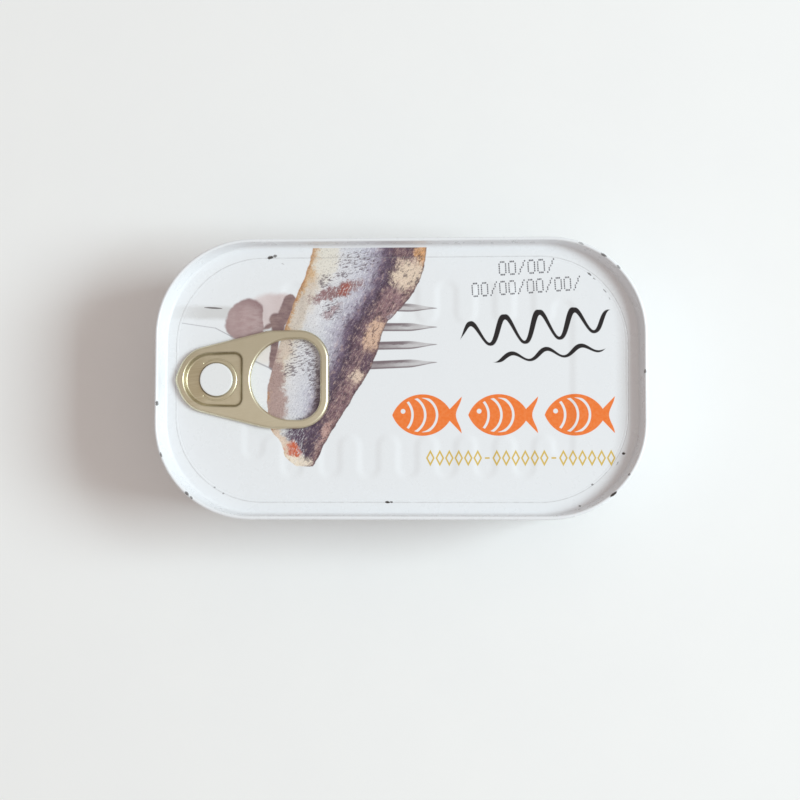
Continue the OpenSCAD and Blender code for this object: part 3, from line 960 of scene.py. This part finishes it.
def shoal_print(p, flat, x, y, under):
    """A row of three plain fish in orange."""
    start, pitch, level, middle = -1.9, 16.1, -7.6, 6.6
    half, high = 6.4, 4.4
    radius = (half * half + high * high) / (2 * high)
    tail_start, tail_end, fork_end = 4.6, 8.3, 7.1
    along = p.less(x, start)
    index = p.math("FLOOR", p.math("DIVIDE", along, pitch))
    row = p.both(p.fade(index, -0.6, -0.4), p.fade(index, 2.4, 2.6, 1.0, 0.0))
    x = p.less(p.math("FLOORED_MODULO", along, pitch), middle)
    height = p.less(y, level)
    y = p.size(height)
    lens = p.less(p.reach(x, p.math("ADD", y, radius - high)), radius)
    tail = p.math("MAXIMUM", p.less(y, p.scaled(x, 1.05, -1.05 * tail_start)), p.less(tail_start, x))
    tail = p.math("MAXIMUM", tail, p.less(x, p.fade(y, 0.0, 3.9, fork_end, tail_end)))
    mask = p.inside(p.math("MINIMUM", lens, tail), 0.07)
    within = p.inside(p.math("ADD", lens, 0.75), 0.07)
    for centre, far in ((-6.4, 4.3), (-3.5, 4.1), (-0.8, 3.9)):
        off = p.less(x, centre)
        arc = p.inside(p.less(p.size(p.less(p.reach(off, y), far)), 0.26), 0.07)
        mask = p.both(mask, p.inverse(p.both(arc, within, p.fade(off, 0.5, 0.9))))
    mask = p.both(mask, row, p.inverse(p.spot(x, height, (-4.1, 0.8), (0.5, 0.5), soft=0.15)))
    grain = p.fade(p.noise(flat, 1.5, 3.0, 0.6), 0.35, 0.65)
    return p.mix(mask, under, p.mix(grain, paint(240, 120, 46), paint(243, 132, 66)))


def trim_print(p, flat, x, y, under):
    """A thin gold row of small diamonds in three runs, with dashes between."""
    left, level, pitch = 5.4, -16.7, 2.0
    along = p.less(x, left)
    index = p.math("FLOOR", p.math("DIVIDE", along, pitch))
    row = p.both(p.fade(index, -0.6, -0.4), p.fade(index, 19.4, 19.6, 1.0, 0.0))
    x = p.size(p.less(p.math("FLOORED_MODULO", along, pitch), pitch / 2))
    y = p.size(p.less(y, level))
    diamond = p.less(p.math("ADD", x, p.scaled(y, 0.52)), 0.72)
    outline = p.inside(p.less(p.size(diamond), 0.19), 0.07)
    gap = p.fade(p.math("FLOORED_MODULO", index, 7.0), 5.4, 5.6)
    dash = p.inside(p.math("MAXIMUM", p.less(y, 0.17), p.less(x, 0.5)), 0.06)
    mask = p.math("ADD", p.both(outline, p.inverse(gap)), p.both(dash, gap))
    return p.mix(p.both(mask, row, 0.95), under, paint(216, 182, 76))


def dot_code(p, flat, x, y, corner, turn, pitch, cells):
    """A row of dot-matrix cells: open blocks, with a slash in every third cell."""
    columns, levels, level_pitch = 6.0, 7.0, 0.45
    x, y = p.turned(x, y, corner, turn, (pitch, level_pitch))
    length = p.both(p.math("GREATER_THAN", x, 0.0), p.math("LESS_THAN", x, cells * columns))
    height = p.both(p.math("GREATER_THAN", y, 0.0), p.math("LESS_THAN", y, levels))
    dot = p.reach(p.less(p.math("FRACT", x), 0.5), p.less(p.math("FRACT", y), 0.5))
    dot = p.both(p.inside(p.less(dot, 0.46), 0.12), length, height)
    column = p.math("FLOOR", x)
    level = p.math("FLOOR", y)
    in_cell = p.math("FLOORED_MODULO", column, columns)
    cell = p.math("FLOOR", p.math("DIVIDE", column, columns))
    side = p.math("COMPARE", p.size(p.less(in_cell, 2.0)), 2.0, 0.1)
    cap = p.math("COMPARE", p.size(p.less(level, 3.0)), 3.0, 0.1)
    block = p.both(p.size(p.less(side, cap)), p.math("LESS_THAN", in_cell, 4.5))
    slash = p.math("COMPARE", in_cell, p.math("ROUND", p.scaled(level, 0.6667)), 0.1)
    third = p.math("COMPARE", p.math("FLOORED_MODULO", cell, 3.0), 2.0, 0.1)
    lit = p.math("ADD", p.both(slash, third), p.both(block, p.inverse(third)))
    return p.both(dot, lit, p.fade(p.noise(flat, 2.5, 2.0, 0.6), 0.25, 0.55, 0.55, 1.0))


def code_print(p, flat, x, y, under):
    """Two rows of grey ink-jet dots."""
    mask = p.either(dot_code(p, flat, x, y, (20.9, 21.9), 3, 0.34, 6),
                    dot_code(p, flat, x, y, (15.2, 17.35), 3.5, 0.325, 12))
    return p.mix(p.scaled(mask, 0.95), under, paint(82, 80, 88))


# ------------------------ wear and dirt

PANEL_MARKS = [
    # centre, half sizes, turn, strength
    ((-27.9, 26.2), (0.62, 0.34), 10, 0.95),
    ((-26.9, 26.5), (0.38, 0.3), 0, 0.8),
    ((-25.2, 24.8), (0.3, 0.1), -20, 0.35),
    ((-2.6, -26.0), (0.5, 0.22), 0, 1.0),
    ((-1.8, -26.0), (0.24, 0.18), 0, 0.9),
    ((-39.5, -22.9), (0.2, 0.16), 0, 0.6),
    ((-37.6, -24.2), (0.2, 0.16), 0, 0.6),
    ((37.8, -26.8), (0.24, 0.18), 0, 0.7),
    ((40.4, -22.3), (0.24, 0.2), 0, 0.7),
    ((48.0, -20.3), (0.3, 0.2), 60, 0.6),
    ((47.0, -15.8), (0.3, 0.28), 0, 1.0),
    ((45.7, -17.8), (0.45, 0.1), 60, 0.5),
    ((40.0, 22.2), (0.5, 0.15), -40, 0.8),
    ((41.0, 21.2), (0.3, 0.12), -42, 0.7),
    ((43.2, 18.6), (0.5, 0.12), -50, 0.55),
    ((44.2, 17.0), (0.3, 0.1), -55, 0.5),
]
CROWN_LEVEL = RIM_Z / MM - 0.4
SEAM_CHIPS = [
    # centre and height, half sizes and half height, turn, strength
    ((-44.8, -24.3, CROWN_LEVEL), (0.5, 0.25, 0.6), -49, 0.8),
    ((-43.8, -25.2, CROWN_LEVEL), (0.35, 0.22, 0.6), -52, 0.7),
    ((-51.4, -5.2, CROWN_LEVEL), (0.25, 0.5, 0.6), 0, 0.85),
    ((-50.4, -16.1, CROWN_LEVEL), (0.22, 0.5, 0.6), 20, 0.7),
    ((44.7, -24.4, CROWN_LEVEL), (0.85, 0.24, 0.6), 41, 1.0),
    ((42.9, 25.7, CROWN_LEVEL), (0.7, 0.22, 0.6), -35, 0.8),
    ((46.0, 23.2, CROWN_LEVEL), (0.5, 0.2, 0.6), -46, 0.6),
    ((38.2, 28.2, CROWN_LEVEL), (0.6, 0.18, 0.6), -20, 0.5),
    ((51.4, 1.2, CROWN_LEVEL), (0.2, 0.4, 0.6), 0, 0.7),
    ((12.0, 29.6, 26.2), (0.4, 0.3, 0.08), 0, 0.5),
    ((-20.0, -29.6, 26.5), (0.3, 0.3, 0.1), 0, 0.5),
]
BARE_STEEL = paint(52, 42, 38)


def marks(p, place, x, y, z, table):
    """One mask for a list of chips and specks with ragged edges, flat ones or ones at a height."""
    x, y = p.pushed(place, x, y, 2.2, 0.5, 3.0, 0.7)
    mask = 0.0
    for centre, size, turn, strength in table:
        speck = p.scaled(p.spot(x, y, centre, size, turn, 0.3), strength)
        if len(size) == 3:
            speck = p.both(speck, p.inside(p.less(p.size(p.less(z, centre[2])), size[2]), 0.1))
        mask = p.math("MAXIMUM", mask, speck)
    return mask


# ------------------------ materials

WHITE_ENAMEL = paint(236, 238, 242)
DULL_ENAMEL = paint(231, 233, 237)


def printed_enamel():
    """White baked enamel with the lid's print, painted shade on the rivet and in its scored line, chips
    and specks.
    """
    material, shader, p, place = new_material("printed enamel")
    x, y, z = p.split(place)
    flat = p.mapped(place, size=(1, 1, 1e6))
    enamel = p.use(ENAMEL, Place=place, Grime=0.35)
    white = p.mix(enamel["Shade"], DULL_ENAMEL, WHITE_ENAMEL)
    colour = white
    for layer in (fork_print, fish_print, wave_print, shoal_print, trim_print, code_print):
        colour = layer(p, flat, x, y, colour)
    foot = p.rim_distance(x, y, WALL_END_IN, WALL_SIDE_IN, WALL_RADIUS)
    colour = p.mix(p.inside(foot, 0.1), white, colour)
    # Painted shade: the rivet's button is tinted a greyer white than the panel.
    rivet = p.both(p.inside(p.less(p.reach(p.less(x, RIVET_X / MM), y), RIVET_RADIUS / MM + 0.1), 0.05),
                   p.fade(z, PANEL_Z / MM + 0.2, PANEL_Z / MM + 0.3))
    colour = p.mix(rivet, colour, paint(231, 232, 234))
    # Painted shade in the scored groove: a broken grey line along it.
    score = p.rim_distance(x, y, SCORE_END_IN, SCORE_SIDE_IN, SCORE_RADIUS)
    broken = p.fade(p.noise(flat, 0.5, 3.0, 0.6), 0.3, 0.6, 0.1, 0.34)
    line = p.both(p.inside(p.less(p.size(score), 0.1), 0.08), broken)
    colour = p.mix(line, colour, paint(150, 148, 146))
    worn = p.either(marks(p, flat, x, y, z, PANEL_MARKS), marks(p, place, x, y, z, SEAM_CHIPS))
    p.feed(shader.inputs["Base Color"], p.mix(worn, colour, BARE_STEEL))
    p.feed(shader.inputs["Roughness"], p.math("ADD", enamel["Roughness"], p.scaled(worn, 0.3)))
    bump(p, shader, p.less(enamel["Height"], p.scaled(worn, 3.0)), 0.12)
    return material


def white_enamel():
    """White baked enamel over the drawn body, set darker than the lid's as painted shade, faintly
    streaked by the drawing, scuffed at its foot.
    """
    material, shader, p, place = new_material("white enamel")
    z = p.split(place)[2]
    enamel = p.use(ENAMEL, Place=place, Grime=0.6)
    streak = p.noise(p.mapped(place, size=(0.8, 0.8, 30.0)), 1.0, 3.0, 0.6)
    # Painted shade: the body's white is darker than the lid's same enamel, to dim it under the window
    # light.
    white = p.mix(enamel["Shade"], paint(210, 213, 217), paint(217, 220, 224))
    white = p.mix(p.fade(streak, 0.45, 0.75, 0.0, 0.12), white, paint(178, 178, 180))
    scuffs = p.flecks(place, 0, (1.6, 1.6, 0.3), 0.34, 0.04)
    scuffs = p.both(scuffs, p.fade(z, 0.3, 2.4, 1.0, 0.0), 0.7)
    p.feed(shader.inputs["Base Color"], p.mix(scuffs, white, paint(132, 130, 128)))
    p.feed(shader.inputs["Roughness"], p.math("ADD", enamel["Roughness"], p.scaled(scuffs, 0.2)))
    bump(p, shader, p.total(enamel["Height"], p.scaled(streak, 0.8), p.scaled(scuffs, -1.5)), 0.12)
    return material


def gold_lacquer():
    """Rolled metal under a pale gold lacquer, satin on the flats, with a painted highlight on its top
    faces and painted shade behind the rivet, round it, on the sunk field's slopes and towards its upper
    side.
    """
    material, shader, p, place = new_material("gold lacquer")
    x, y, z = p.split(place)
    metal = p.use(ROLLED, Place=place, Turn=degrees(8))
    colour = p.mix(metal["Blotch"], paint(230, 223, 196), paint(220, 211, 182))
    colour = p.mix(p.scaled(metal["Lines"], 0.3), colour, paint(204, 194, 164))
    rivet_x = RIVET_X / MM
    top = (PANEL_Z + PULL_THICKNESS) / MM
    floor = (PANEL_Z + FLOOR_Z) / MM
    from_rivet = p.less(x, rivet_x)
    # Painted highlight: the pull's top faces are mixed towards a paler gold.
    colour = p.mix(p.fade(z, top - 0.35, top, 0.0, 0.35), colour, paint(234, 229, 206))
    # Painted shadow of the rivet's head: a darker brown gold on the flat left of the rivet, streaked by
    # the rolled lines.
    behind = p.spot(x, y, (rivet_x - 4.6, 0), (2.6, 5.0), 0, 0.4)
    colour = p.mix(p.both(behind, p.scaled(metal["Lines"], 0.3, 0.3)), colour, paint(186, 170, 132))
    # Painted shade: the pull is mixed darker towards its upper side (+Y).
    colour = p.mix(p.fade(y, -6.0, 8.0, 0.0, 0.28), colour, paint(176, 168, 144))
    # Painted shade in the gap round the rivet: a dark ring, strongest on its left side.
    gap = p.size(p.less(p.reach(from_rivet, y), RIVET_RADIUS / MM + 0.12))
    gap = p.both(p.inside(p.less(gap, 0.16), 0.12), p.fade(x, rivet_x - 3.0, rivet_x + 3.0, 0.85, 0.3))
    colour = p.mix(gap, colour, paint(92, 82, 62))
    # Painted shade on the sunk field's slopes, growing towards the right, where they face away from the
    # window.
    slope = p.both(p.fade(z, floor + 0.1, floor + 0.3), p.fade(z, top - 0.2, top - 0.02, 1.0, 0.0))
    field = p.both(p.inside(p.less(p.size(from_rivet), 6.2), 0.2), p.inside(p.less(p.size(y), 6.4), 0.2))
    shaded = p.fade(x, rivet_x - 2.5, rivet_x + 2.0, 0.0, 0.75)
    colour = p.mix(p.both(slope, field, shaded), colour, paint(128, 112, 84))
    p.feed(shader.inputs["Base Color"], colour)
    shader.inputs["Metallic"].default_value = 1.0
    shader.inputs["Coat Weight"].default_value = 0.4
    shader.inputs["Coat Roughness"].default_value = 0.15
    p.feed(shader.inputs["Roughness"], metal["Roughness"])
    bump(p, shader, metal["Height"], 0.15)
    return material


def pale_floor():
    """A plain pale table top."""
    material, shader, p, place = new_material("pale table")
    colour = p.mix(p.noise(place, 0.05), paint(240, 240, 241), paint(243, 243, 243))
    p.feed(shader.inputs["Base Color"], colour)
    shader.inputs["Roughness"].default_value = 0.6
    return material


# ------------------------ camera, light and floor

def make_camera():
    """The camera above the tin, a little to its right and towards its lower side."""
    place = Vector((29.25, -34.82, 449.8)) * MM
    aim = Vector((0.2, -4.66, 28.0)) * MM
    ahead = (aim - place).normalized()
    side = ahead.cross(Vector((0, 1, 0))).normalized()
    above = side.cross(ahead)
    roll = Matrix.Rotation(math.radians(0.13), 4, "Z")
    turn = Matrix((side, above, -ahead)).transposed().to_4x4() @ roll
    camera = bpy.data.objects.new("camera", bpy.data.cameras.new("camera"))
    camera.data.sensor_width = 36.0
    camera.data.lens = 90.85
    camera.data.clip_start = 0.01
    camera.matrix_world = Matrix.Translation(place) @ turn
    bpy.context.scene.collection.objects.link(camera)
    bpy.context.scene.camera = camera


def area_light(name, azimuth, elevation, distance, size, power, colour):
    """A soft rectangular light that faces the tin."""
    data = bpy.data.lights.new(name, "AREA")
    data.shape = "RECTANGLE"
    data.size, data.size_y = size
    data.energy = power
    data.color = colour
    light = bpy.data.objects.new(name, data)
    flat = math.cos(math.radians(elevation))
    towards = Vector((flat * math.cos(math.radians(azimuth)), flat * math.sin(math.radians(azimuth)),
                      math.sin(math.radians(elevation))))
    light.location = towards * distance
    light.rotation_euler = (-towards).to_track_quat("-Z", "Y").to_euler()
    bpy.context.scene.collection.objects.link(light)


def make_light():
    """One big soft window at the right, and an even warm room."""
    area_light("window", azimuth=1.5, elevation=41.3, distance=1.75, size=(0.74, 0.7), power=25.1,
               colour=(0.84, 0.985, 1.02))
    world = bpy.data.worlds.new("room")
    bpy.context.scene.world = world
    world.use_nodes = True
    room = Pattern(world.node_tree)
    towards = room.split(room.add("ShaderNodeTexCoord").outputs["Generated"])
    shade = room.math("ADD", room.fade(towards[2], 0.0, 1.0, 0.39, 0.59), room.scaled(towards[0], 0.06))
    background = world.node_tree.nodes["Background"]
    background.inputs["Color"].default_value = (1.0, 0.892, 0.83, 1.0)
    room.feed(background.inputs["Strength"], shade)
    bpy.context.scene.view_settings.view_transform = "Standard"


def make_floor():
    """The table top under the tin."""
    bm = bmesh.new()
    bmesh.ops.create_grid(bm, x_segments=8, y_segments=8, size=1.5)
    mesh = bpy.data.meshes.new("table_top")
    bm.to_mesh(mesh)
    bm.free()
    floor = bpy.data.objects.new("table_top", mesh)
    bpy.context.scene.collection.objects.link(floor)
    mesh.materials.append(pale_floor())


# ------------------------ the whole tin

make_camera()
make_light()
make_floor()
make_body(white_enamel())
make_lid(printed_enamel())
make_pull(gold_lacquer())
